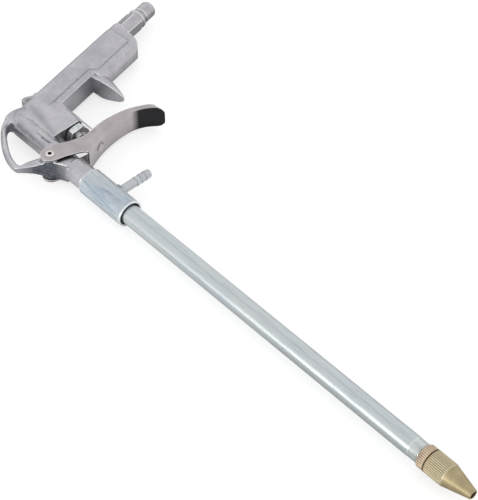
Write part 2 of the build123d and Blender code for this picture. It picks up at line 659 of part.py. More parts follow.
# ---------- assembly ----------
parts = {
    "gun_body": gun_body(),
    "inlet_plug": inlet_plug(),
    "valve_nut": valve_nut(),
    "nut_gasket": nut_gasket(),
    "stem_seal": stem_seal(),
    "valve_stem": valve_stem(),
    "poppet_seal": disc_on_stem(POPPET_FRONT, SEAL_LENGTH, POPPET_R),
    "valve_poppet": disc_on_stem(POPPET_BACK, POPPET_LENGTH, POPPET_R),
    "valve_spring": valve_spring(),
    "lever": lever(),
    "lever_rivet": lever_rivet(),
    "mixing_sleeve": mixing_sleeve(),
    "hose_barb": hose_barb(),
    "air_jet": air_jet(),
    "jet_seal": jet_seal(),
    "tube_bush": tube_bush(),
    "lance_tube": lance_tube(),
    "tube_seal": tube_seal(),
    "nozzle_core": nozzle_core(),
    "lock_ring": lock_ring(),
    "nozzle_cap": nozzle_cap(),
}

boxes = [shape.bounding_box() for shape in parts.values()]
low = [min(getattr(b.min, axis) for b in boxes) for axis in "XYZ"]
high = [max(getattr(b.max, axis) for b in boxes) for axis in "XYZ"]
REST = Pos(-(low[0] + high[0]) / 2, -(low[1] + high[1]) / 2, -low[2])
print("gun axes to rest frame:", [round(v, 3) for v in REST.position])

os.makedirs("parts", exist_ok=True)
for name, shape in parts.items():
    export_step(REST * shape, f"parts/{name}.step")
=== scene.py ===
"""Looks of the air-powered siphon wash gun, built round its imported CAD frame."""

import math

import bpy
import numpy as np
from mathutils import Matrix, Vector
from mathutils.kdtree import KDTree


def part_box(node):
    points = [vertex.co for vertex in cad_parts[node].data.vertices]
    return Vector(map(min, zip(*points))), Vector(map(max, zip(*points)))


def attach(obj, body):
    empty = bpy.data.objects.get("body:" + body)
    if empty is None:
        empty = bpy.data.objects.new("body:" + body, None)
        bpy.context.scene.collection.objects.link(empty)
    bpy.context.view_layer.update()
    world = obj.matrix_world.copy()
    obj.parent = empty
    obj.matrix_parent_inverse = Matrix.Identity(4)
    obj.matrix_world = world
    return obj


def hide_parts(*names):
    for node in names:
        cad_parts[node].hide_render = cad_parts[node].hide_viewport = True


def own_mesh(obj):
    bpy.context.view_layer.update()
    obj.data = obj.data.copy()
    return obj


MM = 0.001                        # a millimetre in metres

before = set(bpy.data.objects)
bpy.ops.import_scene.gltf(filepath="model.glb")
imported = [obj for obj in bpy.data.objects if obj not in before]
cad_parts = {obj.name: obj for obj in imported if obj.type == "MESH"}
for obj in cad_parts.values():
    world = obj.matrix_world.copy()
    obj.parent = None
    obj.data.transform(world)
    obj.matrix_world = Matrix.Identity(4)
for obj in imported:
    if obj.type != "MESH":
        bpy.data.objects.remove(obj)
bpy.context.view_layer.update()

# ---------- places read from the frame ----------
# The gun's own axes start on the barrel line at the sleeve's rear end: X runs to the nozzle,
# Y to the handle's end and Z out of the gun's left side. "Gun millimetres" are along them.
SLEEVE_LOW, SLEEVE_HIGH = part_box("mixing_sleeve")
BARREL_Y = (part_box("lance_tube")[0].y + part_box("lance_tube")[1].y) / 2
ORIGIN = Vector((SLEEVE_LOW.x, BARREL_Y, (SLEEVE_LOW.z + SLEEVE_HIGH.z) / 2))
LEAN = math.radians(12.6)         # the handle's lean back from square to the barrel
DUCT_N = -76.6 * MM               # the duct line's place across the handle


def on_gun(x, y=0.0, z=0.0):
    """Point in the row frame from gun millimetres."""
    return ORIGIN + Vector((x, y, z)) * MM


def gun_x(node):
    """Where a node starts and ends along the barrel, in gun millimetres."""
    low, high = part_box(node)
    return (low.x - ORIGIN.x) / MM, (high.x - ORIGIN.x) / MM


# ---------- sizes of the turned pieces, in gun millimetres ----------
LANCE_R, LANCE_BORE_R = 7.5, 6.3
THREAD_START, THREAD_PITCH, THREAD_DEPTH = 317.5, 1.0, 0.45
THREAD_LEAD, THREAD_FADE = 0.8, 1.0          # plain start of the thread, and where it deepens
THREAD_CREST = LANCE_R - 0.12
NOZZLE_R, SCREW_BORE_R = 8.65, 7.55          # over the knurls, and of the bores that screw on
NOZZLE_KNURL = 15.7                          # the knurl's length from the nozzle's rear face
CONE_STEP = 0.28                             # the cone starts this far under the knurl's crest
TIP_R, TIP_ROUND, SPRAY_R = 3.4, 0.35, 2.4
RING_REAR_R, RING_STEP_R = 7.9, 8.35         # the lock ring's chamfered rear face
CAP_FLUTES, RING_FLUTES, FLUTE_DEPTH = 40, 36, 0.36
KNURL_INSIDE = 8.0                           # smaller radii are the bore, which has no knurl
EASE = 0.3                                   # chamfer of the turned edges

# ---------- camera ----------
AZIMUTH, ELEVATION = math.radians(47.32), math.radians(47.48)
SENSOR = 36                                  # millimetres
FRAME_HEIGHT, FOCAL = 500, 2000              # both in pixels of the photograph
AIM_X = 44.06                                # gun millimetres, on the barrel line
AWAY, SHIFT_RIGHT, SHIFT_DOWN = 1393.6, 75.66, 24.88     # millimetres from the aim


def add_camera():
    a, e = AZIMUTH, ELEVATION
    back = Vector((math.sin(a) * math.cos(e), -math.cos(a) * math.cos(e), math.sin(e)))
    right = Vector((math.cos(a), math.sin(a), 0))
    up = back.cross(right)
    data = bpy.data.cameras.new("camera")
    data.sensor_fit = "AUTO"
    data.sensor_width = SENSOR
    data.lens = SENSOR * FOCAL / FRAME_HEIGHT
    data.clip_start, data.clip_end = 0.05, 50
    camera = bpy.data.objects.new("camera", data)
    bpy.context.scene.collection.objects.link(camera)
    offset = back * AWAY + right * SHIFT_RIGHT - up * SHIFT_DOWN
    camera.location = on_gun(AIM_X) + offset * MM
    camera.rotation_mode = "QUATERNION"
    camera.rotation_quaternion = (-back).to_track_quat("-Z", "Y")
    bpy.context.scene.camera = camera


# ---------- shader helpers ----------
class Nodes:
    """A node tree that is filled and linked by short calls."""

    def __init__(self, tree):
        self.tree = tree
        tree.nodes.clear()

    def put(self, socket, value):
        """Sets a socket, or links it where the value is another node's output."""
        if isinstance(value, bpy.types.NodeSocket):
            self.tree.links.new(value, socket)
        else:
            socket.default_value = value

    def add(self, kind, inputs=None, **settings):
        node = self.tree.nodes.new(kind)
        for key, value in settings.items():
            setattr(node, key, value)
        for key, value in (inputs or {}).items():
            self.put(node.inputs[key], value)
        return node

    def steps(self, value, *stops):
        """A value or colour ramp through (position, grey or colour) stops."""
        node = self.add("ShaderNodeValToRGB", {"Fac": value})
        ramp = node.color_ramp
        while len(ramp.elements) < len(stops):
            ramp.elements.new(0.5)
        for element, (place, tone) in zip(ramp.elements, stops):
            element.position = place
            element.color = (*tone, 1) if isinstance(tone, tuple) else (tone, tone, tone, 1)
        return node.outputs["Color"]

    def maths(self, operation, a, b=0.0, c=0.0):
        return self.add("ShaderNodeMath", {0: a, 1: b, 2: c}, operation=operation).outputs[0]

    def times(self, first, *others):
        """Product of all the values."""
        for other in others:
            first = self.maths("MULTIPLY", first, other)
        return first

    def parts(self, vector):
        """The X, Y and Z outputs of a vector."""
        return self.add("ShaderNodeSeparateXYZ", {0: vector}).outputs


class Shader(Nodes):
    """The nodes of one metal or rubber material. Its sizes are in millimetres."""

    def __init__(self, name):
        self.material = bpy.data.materials.new(name)
        self.material.use_nodes = True
        super().__init__(self.material.node_tree)
        self.surface = self.add("ShaderNodeBsdfPrincipled")
        self.add("ShaderNodeOutputMaterial", {0: self.surface.outputs[0]})
        self.place = self.add("ShaderNodeTexCoord").outputs["Object"]

    def finish(self, colour, rough, normal, metallic=1.0):
        values = {"Base Color": colour, "Roughness": rough, "Normal": normal, "Metallic": metallic}
        for key, value in values.items():
            self.put(self.surface.inputs[key], value)
        return self.material

    # patterns
    def stretched(self, *scale):
        """Places scaled along X, Y and Z: a small scale draws a pattern out along that axis."""
        return self.add("ShaderNodeMapping", {"Vector": self.place, "Scale": scale}).outputs[0]

    def noise(self, size, detail, rough, where=None, warp=0.0):
        """Noise from 0 to 1 whose blobs are about that size."""
        inputs = {"Vector": where or self.place, "Scale": 1 / (size * MM),
                  "Detail": detail, "Roughness": rough, "Distortion": warp}
        return self.add("ShaderNodeTexNoise", inputs).outputs["Fac"]

    def bump(self, height, depth, before=None):
        """Relief of that depth where height goes from 0 to 1."""
        inputs = {"Height": height, "Distance": depth * MM, "Strength": 1.0}
        if before:
            inputs["Normal"] = before
        return self.add("ShaderNodeBump", inputs).outputs[0]

    # colours
    def blend(self, amount, a, b):
        """Colour a turning to b by amount."""
        a, b = (value if isinstance(value, bpy.types.NodeSocket) else (*value, 1)
                for value in (a, b))
        return self.add("ShaderNodeMix", {0: amount, 6: a, 7: b}, data_type="RGBA").outputs[2]

    def clouded(self, clouds, dark, light):
        """Soft patches of two colours."""
        return self.blend(self.steps(clouds, (0.35, 0.0), (0.65, 1.0)), dark, light)

    def marked(self, tone, colour, mask, share=1.0):
        """The tone with a colour over it where the mask is, at that share of its strength."""
        return self.blend(self.times(mask, share) if share != 1.0 else mask, tone, colour)

    # masks
    def along(self, axis):
        return self.parts(self.place)["XYZ".index(axis)]

    def beyond(self, axis, start, span):
        """0 at a place along an axis of the row frame, rising to 1 over the span after it."""
        span = span * MM
        return self.maths("MULTIPLY_ADD", self.along(axis), 1 / span, -start / span)

    def spot(self, place, reach, plane=(1, 1, 0)):
        """1 at a place of the row frame, falling to 0 at its reach, measured along a plane."""
        flat = self.stretched(*plane)
        centre = tuple(value * keep for value, keep in zip(place, plane))
        away = self.add("ShaderNodeVectorMath", {0: flat, 1: centre}, operation="DISTANCE")
        share = self.maths("DIVIDE", away.outputs["Value"], reach * MM)
        return self.steps(share, (0.25, 1.0), (1.0, 0.0))

    def corner(self, reach, *stops):
        """A ramp over how open a place is: 1 in the open, towards 0 in narrow corners, where the
        metals get painted shade.
        """
        node = self.add("ShaderNodeAmbientOcclusion", {"Distance": reach * MM}, samples=8)
        return self.steps(node.outputs["AO"], *stops)

    def facing(self):
        """The X, Y and Z parts of the surface's normal."""
        return self.parts(self.add("ShaderNodeNewGeometry").outputs["Normal"])

    def low_front(self):
        """1 on walls that face low to -Y and +X, where a dark reflection is painted, and 0
        elsewhere.
        """
        x, y, z = self.facing()
        front = self.steps(self.times(y, -1.0), (0.15, 0.0), (0.33, 1.0))
        side = self.steps(x, (0.18, 0.0), (0.34, 1.0))
        wall = self.steps(z, (0.22, 1.0), (0.46, 0.0))
        return self.times(front, side, wall)

    def front_wall(self):
        """1 on walls that face the nozzle's end, and 0 elsewhere."""
        x, _, z = self.facing()
        wall = self.steps(self.maths("ABSOLUTE", z), (0.35, 1.0), (0.6, 0.0))
        return self.times(wall, self.steps(x, (0.1, 0.0), (0.3, 1.0)))

    def attribute(self, name):
        """A value per vertex for the worn edges with a painted highlight, the creases with painted
        shade and the foundry lines with dirt and painted shade; 0 on meshes without it.
        """
        return self.add("ShaderNodeAttribute", attribute_name=name).outputs["Fac"]


# ---------- materials ----------
# Each starts with its colours. Ramps are (position, grey) stops, and noises are given as
# size, detail and roughness.
ACROSS_BARREL = (0, 1, 1)                    # a spot's plane that is square to the barrel
LOOP_ARM, LOOP_ARM_REACH = (-30, -17), 19    # gun x and y where the painted dark reflection on the front walls is darkest


def cast_aluminium():
    """Tumbled die casting with rubbed edges that carry a painted highlight, dirt and painted
    shade along its foundry lines, painted shade in corners and creases, and a painted dark
    reflection on its front walls.
    """
    s = Shader("tumbled_casting")
    dark, light, rubbed = (0.455, 0.445, 0.485), (0.56, 0.545, 0.575), (0.60, 0.59, 0.595)
    speck, edge_wear_and_glint, crease_shade = (0.33, 0.33, 0.36), (0.78, 0.78, 0.80), (0.16, 0.16, 0.175)
    painted_shade, reflection, dirt_and_shade = (0.10, 0.10, 0.11), (0.075, 0.085, 0.10), (0.10, 0.10, 0.115)
    clouds = s.noise(16, 3, 0.6)
    mottle = s.noise(2.2, 5, 0.65)
    smears = s.noise(4, 4, 0.7, warp=0.8)
    patches = s.noise(8, 4, 0.6, warp=0.6)
    pits = s.steps(s.noise(1.1, 3, 0.6), (0.60, 0.0), (0.70, 0.8))
    front = s.low_front()

    tone = s.clouded(clouds, dark, light)
    tone = s.marked(tone, rubbed, s.steps(patches, (0.52, 0.0), (0.68, 0.45)))
    tone = s.marked(tone, speck, s.steps(mottle, (0.3, 0.45), (0.46, 0.0)))
    # Worn edges with a painted highlight, and painted shade in creases.
    tone = s.marked(tone, edge_wear_and_glint, s.attribute("worn_and_glint"), 0.7)
    tone = s.marked(tone, crease_shade, s.attribute("crease_shade"), 0.55)
    # Painted dark reflection in pits on the low front walls.
    tone = s.marked(tone, painted_shade, s.times(front, pits))
    # Painted dark reflection on the front walls, darkest at the loop's arm.
    arm = s.steps(s.spot(on_gun(*LOOP_ARM), LOOP_ARM_REACH), (0.0, 0.35), (0.8, 1.0))
    shine = s.times(front, s.steps(smears, (0.3, 0.75), (0.6, 1.0)), arm)
    tone = s.marked(tone, reflection, shine)
    # Dirt along the foundry lines, and painted shade in the valley and loop bands.
    grime_and_shade = s.times(s.attribute("grime_and_shade"), s.steps(smears, (0.35, 0.5), (0.55, 1.0)))
    tone = s.marked(tone, dirt_and_shade, grime_and_shade)
    # Painted shade in narrow corners.
    tone = s.marked(tone, painted_shade, s.corner(2.5, (0.3, 0.65), (0.75, 0.0)))

    peel = s.bump(s.noise(2.4, 3, 0.5), 0.07)
    grain = s.bump(s.noise(0.5, 2, 0.5), 0.006, peel)
    return s.finish(tone, s.steps(mottle, (0.3, 0.44), (0.7, 0.32)), grain)


def dull_nickel():
    """The plug's plate, with painted highlights on its worn edges, painted shade in its grooves
    and corners, and a painted dark reflection on its low front walls.
    """
    s = Shader("plug_plate")
    dark, light, speck = (0.44, 0.425, 0.455), (0.54, 0.525, 0.55), (0.20, 0.19, 0.19)
    edge_wear_and_glint, crease_shade = (0.95, 0.94, 0.97), (0.07, 0.07, 0.075)
    reflection, dirt_and_shade = (0.045, 0.045, 0.05), (0.05, 0.05, 0.055)
    clouds = s.noise(6, 4, 0.6)

    tone = s.clouded(clouds, dark, light)
    tone = s.marked(tone, speck, s.steps(s.noise(0.8, 3, 0.6), (0.62, 0.0), (0.72, 0.5)))
    # Painted highlight on worn edges, painted shade in grooves, painted dark reflection, and
    # painted shade in corners.
    tone = s.marked(tone, edge_wear_and_glint, s.attribute("worn_and_glint"), 0.9)
    tone = s.marked(tone, crease_shade, s.attribute("crease_shade"), 0.9)
    tone = s.marked(tone, reflection, s.low_front(), 0.8)
    tone = s.marked(tone, dirt_and_shade, s.corner(2.2, (0.45, 0.85), (0.85, 0.0)))

    peel = s.bump(s.noise(0.6, 3, 0.5), 0.02)
    return s.finish(tone, s.steps(clouds, (0.3, 0.18), (0.7, 0.30)), peel)


def side_mark(s, start, end, width):
    """1 on a thin mark between two (x, z) places in gun millimetres, on the tubes' -Y side."""
    (x0, z0), (x1, z1) = start, end
    run = s.beyond("X", on_gun(x0).x, x1 - x0)
    height = s.maths("SUBTRACT", s.along("Z"), ORIGIN.z + z0 * MM)
    height = s.maths("MULTIPLY_ADD", run, (z0 - z1) * MM, height)
    share = s.maths("DIVIDE", s.maths("ABSOLUTE", height), width * MM)
    near = s.steps(share, (0.35, 1.0), (1.0, 0.0))
    within = s.steps(run, (0.0, 0.0), (0.04, 1.0), (0.85, 1.0), (1.0, 0.0))
    side = s.maths("LESS_THAN", s.along("Y"), ORIGIN.y)
    return s.times(near, within, side)


SEAM_Y, SEAM_WIDTH = 1.75 * MM, 0.6 * MM     # the lance's faint weld seam, beside its top


def lance_marks(s, tone):
    """The tone with the lance's weld seam and its bright threaded end."""
    seam_line, bare_thread = (0.30, 0.34, 0.38), (0.74, 0.78, 0.76)
    across = s.maths("SUBTRACT", s.along("Y"), ORIGIN.y - SEAM_Y)
    line = s.maths("LESS_THAN", s.maths("ABSOLUTE", across), SEAM_WIDTH / 2)
    upper = s.maths("GREATER_THAN", s.along("Z"), ORIGIN.z)
    tone = s.marked(tone, seam_line, s.times(line, upper), 0.35)
    threaded = s.steps(s.beyond("X", on_gun(THREAD_START).x, 0.5), (0.0, 0.0), (1.0, 0.7))
    return s.marked(tone, bare_thread, threaded)


def zinc_plate(name, pale, blue, streak, rough, crease_shade=0.75, lance=False, mark=None):
    """Pale blue-green zinc with streaks along the tube.

    streak is the strength of streaks and specks, the argument after rough the strength of
    painted shade in corners, and mark a painted dark reflection on the tube's side as
    (start, end, width).
    """
    s = Shader(name)
    streak_blue, dark_speck = (0.35, 0.42, 0.49), (0.26, 0.32, 0.38)
    pale_speck = (0.78, 0.81, 0.82)
    dirt_and_shade, edge_wear_and_glint, reflection = (0.06, 0.07, 0.08), (0.93, 0.95, 0.94), (0.14, 0.18, 0.25)
    drawn = s.stretched(0.08, 1, 1)
    streaks = s.noise(1.1, 4, 0.6, drawn)
    clouds = s.noise(14, 3, 0.6, s.stretched(0.3, 1, 1), 0.2)
    specks = s.noise(0.7, 3, 0.6)

    tone = s.clouded(clouds, pale, blue)
    tone = s.marked(tone, streak_blue, s.steps(streaks, (0.50, 0.0), (0.66, streak)))
    tone = s.marked(tone, dark_speck, s.steps(specks, (0.60, 0.0), (0.72, 0.5 * streak)))
    tone = s.marked(tone, pale_speck, s.steps(specks, (0.28, 0.55 * streak), (0.42, 0.0)))
    if lance:
        tone = lance_marks(s, tone)
    # Painted shade in corners, and worn edges with a painted highlight.
    tone = s.marked(tone, dirt_and_shade, s.corner(1.5, (0.3, crease_shade), (0.75, 0.0)))
    tone = s.marked(tone, edge_wear_and_glint, s.attribute("worn_and_glint"), 0.9)
    if mark:
        broken = s.steps(s.noise(1.3, 3, 0.6), (0.38, 0.05), (0.62, 0.65))
        tone = s.marked(tone, reflection, s.times(side_mark(s, *mark), broken))

    lines = s.bump(streaks, 0.012)
    waves = s.bump(s.noise(9, 2, 0.5, drawn), 0.05, lines)
    return s.finish(tone, s.steps(streaks, (0.3, rough), (0.7, rough + 0.1)), waves)


# The lever's marks as gun (x, y, z) and reach, and where the painted dark reflection on its
# end starts.
DIMPLE, DIMPLE_REACH = (0, 27.6, 0.3), 4.6   # the small dimple pressed in its web
DIMPLE_GAP, DIMPLE_GAP_REACH = (0, 28.2, -2.6), 4.4      # its rim has painted shade on one half only
WEB_DOT, WEB_DOT_REACH = (0, 30.4, 0.9), 1.1
CHEEK_SMUDGE, CHEEK_SMUDGE_REACH = (-28.5, 28), 3.4
DARK_END_Y, DARK_END_SPAN = 78.5, 1.5
DIMPLE_DEPTH = 0.8


def nickel_sheet():
    """The lever's pressed sheet, with its dimple, painted shade on half of the dimple's rim and in
    its corners, worn edges with a painted highlight, and a painted dark reflection on its end
    and low front walls.
    """
    s = Shader("trigger_nickel")
    dark, light, rub = (0.43, 0.395, 0.405), (0.50, 0.465, 0.475), (0.32, 0.28, 0.28)
    ring, dot, smudge = (0.16, 0.14, 0.14), (0.03, 0.03, 0.03), (0.22, 0.18, 0.16)
    edge_wear_and_glint, reflection, dirt_and_shade = (0.86, 0.83, 0.83), (0.012, 0.012, 0.014), (0.05, 0.045, 0.045)
    clouds = s.noise(12, 3, 0.6)
    rubs = s.noise(1.5, 4, 0.6, s.stretched(0.25, 1, 1))
    dimple = s.spot(on_gun(*DIMPLE), DIMPLE_REACH, ACROSS_BARREL)
    gap = s.spot(on_gun(*DIMPLE_GAP), DIMPLE_GAP_REACH, ACROSS_BARREL)

    tone = s.clouded(clouds, dark, light)
    tone = s.marked(tone, rub, s.steps(rubs, (0.62, 0.0), (0.78, 0.15)))
    # Painted shade on one half of the dimple's rim.
    rim_shade = s.steps(dimple, (0.12, 0.0), (0.30, 1.0), (0.48, 0.0))
    rim_shade = s.times(rim_shade, s.steps(gap, (0.0, 1.0), (0.5, 0.0)))
    tone = s.marked(tone, ring, rim_shade, 0.75)
    tone = s.marked(tone, dot, s.spot(on_gun(*WEB_DOT), WEB_DOT_REACH, ACROSS_BARREL))
    tone = s.marked(tone, smudge, s.spot(on_gun(*CHEEK_SMUDGE), CHEEK_SMUDGE_REACH), 0.3)
    # Worn edges with a painted highlight.
    tone = s.marked(tone, edge_wear_and_glint, s.attribute("worn_and_glint"), 0.8)
    # Painted dark reflection on the end and on the low front walls.
    end = s.beyond("Y", on_gun(0, DARK_END_Y).y, DARK_END_SPAN)
    end = s.times(s.steps(end, (0.0, 0.0), (1.0, 1.0)), s.front_wall())
    tone = s.marked(tone, reflection, s.maths("MAXIMUM", s.low_front(), end), 0.97)
    # Painted shade in corners, reaching into the channel.
    tone = s.marked(tone, dirt_and_shade, s.corner(5, (0.25, 0.85), (0.7, 0.0)))

    relief = s.bump(s.noise(7, 2, 0.5), 0.03)
    relief = s.bump(dimple, -DIMPLE_DEPTH, relief)
    return s.finish(tone, s.steps(clouds, (0.3, 0.22), (0.7, 0.28)), relief)


def bright_zinc():
    """The valve nut's plate, with painted highlights on worn edges, a painted dark reflection on
    its low front walls and painted shade in corners.
    """
    s = Shader("nut_zinc")
    dark, light, edge_wear_and_glint = (0.56, 0.59, 0.59), (0.78, 0.80, 0.79), (0.92, 0.93, 0.93)
    reflection, dirt_and_shade = (0.08, 0.085, 0.08), (0.05, 0.06, 0.06)
    tone = s.blend(s.steps(s.noise(4, 4, 0.6), (0.4, 0.0), (0.6, 1.0)), dark, light)
    tone = s.marked(tone, edge_wear_and_glint, s.attribute("worn_and_glint"), 0.8)
    tone = s.marked(tone, reflection, s.low_front(), 0.8)
    tone = s.marked(tone, dirt_and_shade, s.corner(1.2, (0.35, 0.7), (0.8, 0.0)))
    return s.finish(tone, 0.24, s.bump(s.noise(0.8, 3, 0.5), 0.02))


BORE_SHADE_REACH = 3.3


def nozzle_marks(s, tone, groove_and_shade):
    """The tone with the nozzle's pale knurl, a painted highlight on its ridge, its dark rear seam
    and painted shade in its bore.
    """
    knurl, ridge_glint, hole = (0.74, 0.66, 0.47), (0.80, 0.74, 0.55), (0.05, 0.022, 0.012)
    start, tip = gun_x("nozzle_cap")
    along = s.maths("SUBTRACT", s.along("X"), on_gun(start).x)
    along = s.times(along, 1 / ((tip - start) * MM))
    end = NOZZLE_KNURL / (tip - start)
    band = s.steps(along, (0.0, 1.0), (end - 0.01, 1.0), (end, 0.0))
    tone = s.marked(tone, knurl, band, 0.55)
    # Painted highlight along the ridge at the knurl's end.
    glint_band = s.steps(along, (end - 0.014, 0.0), (end, 0.8), (end + 0.012, 0.0))
    tone = s.marked(tone, ridge_glint, glint_band)
    seam = s.steps(along, (0.0, 1.0), (0.018, 0.9), (0.03, 0.0))
    tone = s.marked(tone, groove_and_shade, seam)
    # Painted shade in the bore.
    bore = s.spot(on_gun(0), BORE_SHADE_REACH, ACROSS_BARREL)
    return s.marked(tone, hole, s.steps(bore, (0.25, 0.0), (0.4, 1.0)))


def turned_brass(name, light, dark, groove_and_shade, nozzle=False):
    """Brass with fine turning lines and painted shade in its grooves and corners."""
    s = Shader(name)
    rings = s.noise(0.25, 3, 0.6, s.stretched(1, 0.02, 0.02))
    clouds = s.noise(7, 4, 0.65)
    tone = s.clouded(clouds, dark, light)
    if nozzle:
        tone = nozzle_marks(s, tone, groove_and_shade)
    # Painted shade in grooves and corners.
    tone = s.marked(tone, groove_and_shade, s.corner(0.8, (0.5, 0.9), (0.95, 0.0)))
    relief = s.bump(rings, 0.006, s.bump(clouds, 0.02))
    return s.finish(tone, s.steps(clouds, (0.3, 0.42), (0.7, 0.52)), relief)


def plain_steel(name, dark, light, dirt_and_shade, patch, corner, rough, peel):
    """Bright metal.

    patch is the cloudy patches' size, corner the reach and ramp of painted shade in corners,
    and peel the size and depth of the surface's relief.
    """
    s = Shader(name)
    tone = s.blend(s.noise(patch, 4, 0.6), dark, light)
    # Painted shade in corners.
    tone = s.marked(tone, dirt_and_shade, s.corner(*corner))
    size, depth = peel
    return s.finish(tone, rough, s.bump(s.noise(size, 2, 0.5), depth))


def rubber():
    s = Shader("nitrile")
    tone = s.blend(s.noise(1.5, 3, 0.6), (0.018, 0.018, 0.02), (0.035, 0.034, 0.034))
    return s.finish(tone, 0.6, s.bump(s.noise(0.3, 2, 0.5), 0.01), metallic=0.0)


# ---------- meshes ----------
SHARP = math.radians(35)                     # steeper edges of turned pieces stay sharp
EDGE_MARK_ROUNDS = 12                             # smoothing that tells an edge or a crease from a flat


def link(name, mesh):
    piece = bpy.data.objects.new(name, mesh)
    bpy.context.scene.collection.objects.link(piece)
    return piece


def lathe(name, profile, segments, material, relief):
    """Closed ring of (x, radius) corners in gun millimetres, turned about the barrel line."""
    angles = np.linspace(0, 2 * math.pi, segments, endpoint=False)
    vertices = []
    for x, radius in profile:
        r = radius - relief(x, radius, angles)
        for k in range(segments):
            place = on_gun(x, r[k] * math.cos(angles[k]), r[k] * math.sin(angles[k]))
            vertices.append(tuple(place))
    faces = []
    rings = len(profile)
    for i in range(rings):
        a, b = i * segments, (i + 1) % rings * segments
        for k in range(segments):
            m = (k + 1) % segments
            faces.append((a + k, a + m, b + m, b + k))
    mesh = bpy.data.meshes.new(name)
    mesh.from_pydata(vertices, [], faces)
    mesh.update()
    mesh.polygons.foreach_set("use_smooth", [True] * len(mesh.polygons))
    mesh.set_sharp_from_angle(angle=SHARP)
    mesh.materials.append(material)
    return link(name, mesh)


def vertex_rows(mesh, name):
    """The vertices' "co" or "normal" as rows of three."""
    values = np.empty(len(mesh.vertices) * 3)
    mesh.vertices.foreach_get(name, values)
    return values.reshape(-1, 3)


def set_rows(mesh, points):
    mesh.vertices.foreach_set("co", points.ravel())
    mesh.update()


def set_marks(mesh, name, values):
    marks = mesh.attributes.new(name, "FLOAT", "POINT")
    marks.data.foreach_set("value", values)


def add_smooth(piece, rounds, group=""):
    smooth = piece.modifiers.new("smooth", "SMOOTH")
    smooth.factor = 0.5
    smooth.iterations = rounds
    smooth.vertex_group = group


def modified_mesh(piece):
    """The piece's mesh with its modifiers applied. The piece keeps its own and loses them."""
    seen = piece.evaluated_get(bpy.context.evaluated_depsgraph_get())
    mesh = bpy.data.meshes.new_from_object(seen)
    piece.modifiers.clear()
    return mesh


def remeshed(name, node, voxel, rounds, material):
    """A CAD node's form as one even mesh with its edges rounded."""
    piece = link(name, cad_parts[node].data.copy())
    remesh = piece.modifiers.new("remesh", "REMESH")
    remesh.mode = "VOXEL"
    remesh.voxel_size = voxel * MM
    add_smooth(piece, rounds)
    piece.data = modified_mesh(piece)
    piece.data.name = name
    piece.data.polygons.foreach_set("use_smooth", [True] * len(piece.data.polygons))
    piece.data.materials.clear()
    piece.data.materials.append(material)
    return piece


def mark_edges_and_creases(piece, rounds, least, most):
    """Attributes of the piece's vertices: worn edges, which also get a painted highlight, and
    creases, which get painted shade.

    They go from 0 to 1 as a place stands least to most millimetres out of the piece's
    smoothed surface, or in from it.
    """
    points, normals = vertex_rows(piece.data, "co"), vertex_rows(piece.data, "normal")
    add_smooth(piece, rounds)
    smoothed_copy = modified_mesh(piece)
    proud = ((points - vertex_rows(smoothed_copy, "co")) * normals).sum(axis=1) / MM
    bpy.data.meshes.remove(smoothed_copy)
    for name, side in (("worn_and_glint", proud), ("crease_shade", -proud)):
        set_marks(piece.data, name, np.clip((side - least) / (most - least), 0, 1))


def add_rounded(name, node, voxel, rounds, body, material, wear_and_glint_limits):
    """A machined or pressed CAD node with its corners eased, its edges worn with a painted
    highlight, and painted shade in its creases.
    """
    piece = remeshed(name, node, voxel, rounds, material)
    mark_edges_and_creases(piece, EDGE_MARK_ROUNDS, *wear_and_glint_limits)
    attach(piece, body)
    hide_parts(node)


# ---------- nozzle and lance ----------
LANCE_SEGMENTS, RINGS_PER_TURN, CONE_RINGS, PER_FLUTE = 96, 8, 12, 8     # how fine the meshes are


def fluted(start, end, count, depth):
    """Straight knurl between two places along the barrel."""
    def relief(x, radius, angles):
        if not start <= x <= end or radius < KNURL_INSIDE:
            return np.zeros(len(angles))
        wave = np.abs(((angles * count / (2 * math.pi)) % 1.0) - 0.5) * 2
        return depth * np.clip(wave * 2.0 - 0.85, 0, 1)      # broad crests, narrow grooves
    return relief


def filled(points, step):
    """The same closed outline with its long runs along X divided."""
    result = []
    for (x0, r0), (x1, r1) in zip(points, points[1:] + points[:1]):
        pieces = max(1, math.ceil(abs(x1 - x0) / step))
        for k in range(pieces):
            t = k / pieces
            result.append((x0 + (x1 - x0) * t, r0 + (r1 - r0) * t))
    return result


